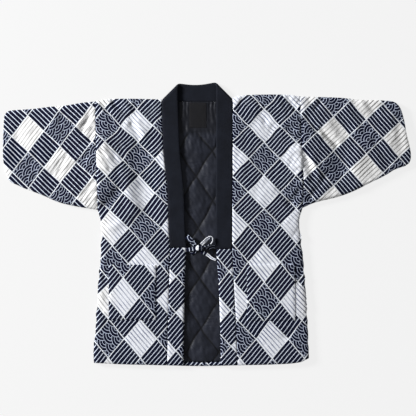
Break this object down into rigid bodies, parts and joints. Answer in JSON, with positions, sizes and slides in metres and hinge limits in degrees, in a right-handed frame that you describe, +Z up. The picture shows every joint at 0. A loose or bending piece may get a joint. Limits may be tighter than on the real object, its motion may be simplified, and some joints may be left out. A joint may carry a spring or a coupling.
{
  "type": "hanten jacket",
  "caption": "Padded short jacket laid flat and open, with wide flat sleeves, patch pockets, a plain collar strip, a quilted lining and tied strips at the front.",
  "frame": {"origin": "on the surface under the jacket, at the middle of its length and of its sleeve span", "axes": "+X along the sleeves, +Y from the hem to the collar, +Z up from the surface it lies on"},
  "size_m": [1.2213, 0.8497, 0.0228],
  "materials": {
    "print_cloth": "woven cotton print, matte",
    "plain_navy": "plain woven cotton, matte",
    "lining_cloth": "quilted smooth lining, soft sheen",
    "label_cloth": "plain woven label, matte"
  },
  "bodies": {
    "root": {"back": "print_cloth", "lining_back": "lining_cloth", "front_left": "print_cloth", "front_right": "print_cloth", "sleeve_left": "print_cloth", "sleeve_right": "print_cloth", "collar": "plain_navy", "band_left": "print_cloth", "band_right": "print_cloth", "pocket_left": "print_cloth", "pocket_right": "print_cloth", "neck_label": "label_cloth", "bow_knot": "print_cloth", "tie_left": "print_cloth", "tie_right": "print_cloth", "bow_loop_left": "print_cloth", "bow_loop_right": "print_cloth", "bow_tail_left": "print_cloth", "bow_tail_right": "print_cloth"}
  },
  "joints": []
}
